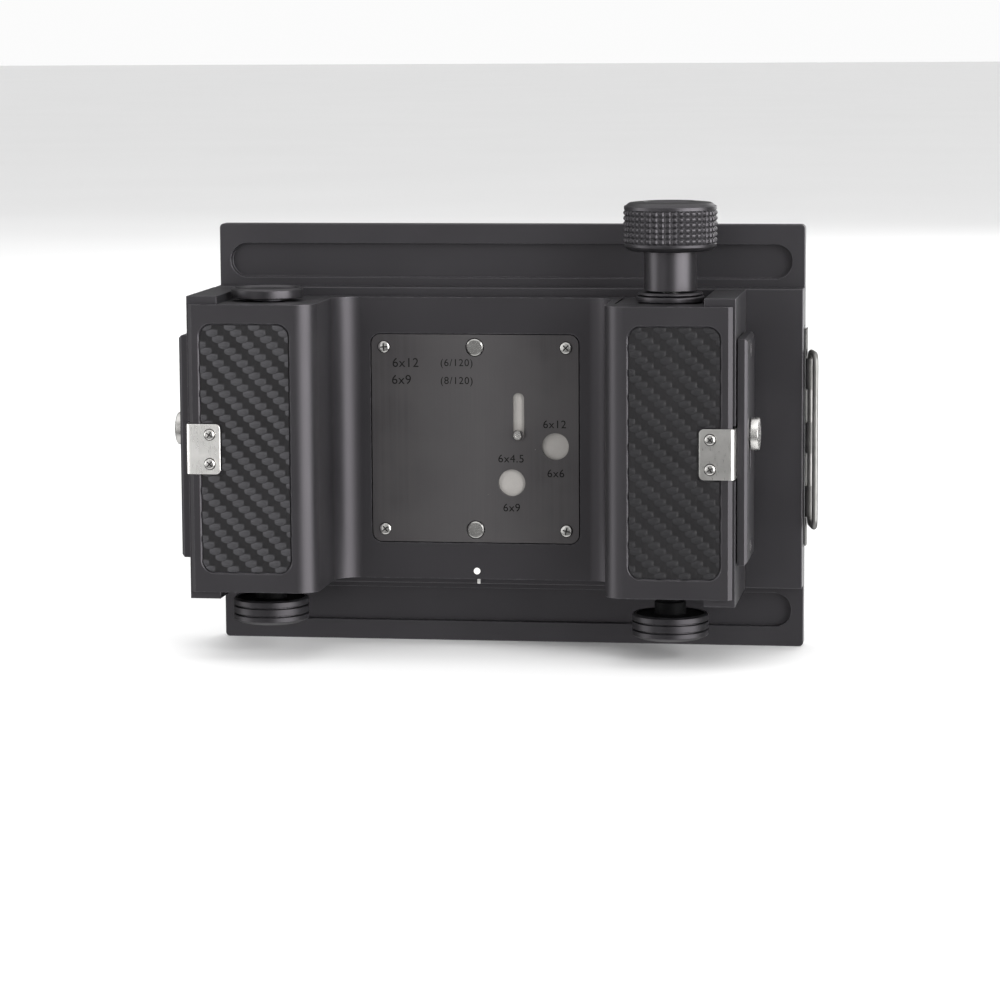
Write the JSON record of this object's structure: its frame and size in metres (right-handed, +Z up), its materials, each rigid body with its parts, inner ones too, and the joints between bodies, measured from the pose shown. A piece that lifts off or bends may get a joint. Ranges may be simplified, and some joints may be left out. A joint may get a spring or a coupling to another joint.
{
  "type": "roll film holder",
  "caption": "Multi-format 120 roll-film holder with two spool chambers, lift-off back cover, dark slide and wind knob, clamped into a 4x5 view camera's sliding-lock back.",
  "frame": {"origin": "centre of the film gate, on the front seat face of the mount plate", "axes": "+X along the film towards the dark slide's handle, +Y towards the lens, +Z up"},
  "size_m": [0.1795, 0.0518, 0.1285],
  "materials": {
    "black_anodised": "satin black anodised",
    "black_satin": "satin black",
    "leatherette": "woven-pattern vinyl",
    "brushed_steel": "dark brushed",
    "bright_steel": "bright",
    "shutter_white": "matt light grey",
    "red_filter": "clear deep red",
    "black_felt": "velvet pile",
    "spool_plastic": "moulded",
    "slide_sheet": "black sheet"
  },
  "bodies": {
    "holder": {"mount_plate": "black_anodised", "slide_housing": "black_anodised", "film_body": "black_anodised", "light_trap_front": "black_felt", "light_trap_rear": "black_felt", "housing_screw_1": "bright_steel", "housing_screw_2": "bright_steel", "housing_screw_3": "bright_steel", "housing_screw_4": "bright_steel", "pressure_spring_left": "bright_steel", "pressure_spring_right": "bright_steel", "wind_collar": "black_anodised", "catch_plate_left": "black_anodised", "catch_plate_right": "black_anodised", "catch_plate_screw_left_lower": "bright_steel", "catch_plate_screw_left_upper": "bright_steel", "catch_plate_screw_right_lower": "bright_steel", "catch_plate_screw_right_upper": "bright_steel"},
    "back_cover": {"back_cover": "black_anodised", "leatherette_left": "leatherette", "leatherette_right": "leatherette", "catch_clip_left": "bright_steel", "catch_clip_right": "bright_steel", "clip_screw_left_lower": "bright_steel", "clip_screw_left_upper": "bright_steel", "clip_screw_right_lower": "bright_steel", "clip_screw_right_upper": "bright_steel", "nameplate": "brushed_steel", "nameplate_screw_lower_left": "bright_steel", "nameplate_screw_upper_left": "bright_steel", "nameplate_screw_lower_right": "bright_steel", "nameplate_screw_upper_right": "bright_steel", "pressure_stud_upper": "bright_steel", "pressure_stud_lower": "bright_steel", "window_filter_1": "red_filter", "window_filter_2": "red_filter"},
    "shutter": {"shutter_plate": "shutter_white", "shutter_pin": "bright_steel"},
    "pressure_plate": {"pressure_plate": "black_satin"},
    "wind_ratchet": {"wind_ratchet": "black_anodised"},
    "wind_knob": {"wind_knob": "black_anodised", "wind_shaft": "bright_steel"},
    "take_up_spool": {"take_up_spool": "spool_plastic"},
    "supply_cap": {"supply_cap": "black_anodised"},
    "supply_pull_knob": {"supply_pull_knob": "black_anodised"},
    "take_up_pull_knob": {"take_up_pull_knob": "black_anodised"},
    "film_roller_left": {"film_roller_left": "bright_steel"},
    "film_roller_right": {"film_roller_right": "bright_steel"},
    "catch_left": {"catch_slider_left": "bright_steel", "catch_button_left": "bright_steel"},
    "catch_right": {"catch_slider_right": "bright_steel", "catch_button_right": "bright_steel"},
    "dark_slide": {"dark_slide_blade": "slide_sheet", "dark_slide_handle": "slide_sheet"},
    "dark_slide_bail": {"dark_slide_bail": "bright_steel"}
  },
  "joints": [
    {"name": "cover_off", "type": "slide", "parent": "holder", "child": "back_cover", "axis": [0, -1, 0], "range_m": [0, 0.06]},
    {"name": "shutter_slide", "type": "slide", "parent": "back_cover", "child": "shutter", "axis": [0, 0, 1], "range_m": [0, 0.01]},
    {"name": "pressure_slide", "type": "slide", "parent": "holder", "child": "pressure_plate", "axis": [0, -1, 0], "range_m": [0, 0.001], "stiffness_N_per_m": 400, "springref_m": -0.003},
    {"name": "wind_spin", "type": "hinge", "parent": "holder", "child": "wind_ratchet", "pos_m": [0.057, -0.031, 0.0425], "axis": [0, 0, 1], "continuous": true},
    {"name": "wind_lift", "type": "slide", "parent": "wind_ratchet", "child": "wind_knob", "axis": [0, 0, 1], "range_m": [0, 0.006]},
    {"name": "take_up_spin", "type": "hinge", "parent": "holder", "child": "take_up_spool", "pos_m": [0.057, -0.031, 0], "axis": [0, 0, 1], "continuous": true},
    {"name": "supply_spin", "type": "hinge", "parent": "holder", "child": "supply_cap", "pos_m": [-0.057, -0.031, 0.042], "axis": [0, 0, 1], "continuous": true},
    {"name": "supply_pull", "type": "slide", "parent": "holder", "child": "supply_pull_knob", "axis": [0, 0, -1], "range_m": [0, 0.006]},
    {"name": "take_up_pull", "type": "slide", "parent": "holder", "child": "take_up_pull_knob", "axis": [0, 0, -1], "range_m": [-0.0027, 0.0035]},
    {"name": "roller_spin_left", "type": "hinge", "parent": "holder", "child": "film_roller_left", "pos_m": [-0.064, -0.0086, 0], "axis": [0, 0, 1], "continuous": true},
    {"name": "roller_spin_right", "type": "hinge", "parent": "holder", "child": "film_roller_right", "pos_m": [0.064, -0.0086, 0], "axis": [0, 0, 1], "continuous": true},
    {"name": "catch_slide_left", "type": "slide", "parent": "holder", "child": "catch_left", "axis": [0, 0, -1], "range_m": [0, 0.0084]},
    {"name": "catch_slide_right", "type": "slide", "parent": "holder", "child": "catch_right", "axis": [0, 0, -1], "range_m": [0, 0.0084]},
    {"name": "slide_pull", "type": "slide", "parent": "holder", "child": "dark_slide", "axis": [1, 0, 0], "range_m": [0, 0.15]},
    {"name": "bail_swing", "type": "hinge", "parent": "dark_slide", "child": "dark_slide_bail", "pos_m": [0.09435, -0.0056, 0], "axis": [0, 0, 1], "range_deg": [-5, 150]}
  ],
  "couplings": [
    {"joint": "take_up_spin", "follows": "wind_spin", "ratio": 1}
  ]
}
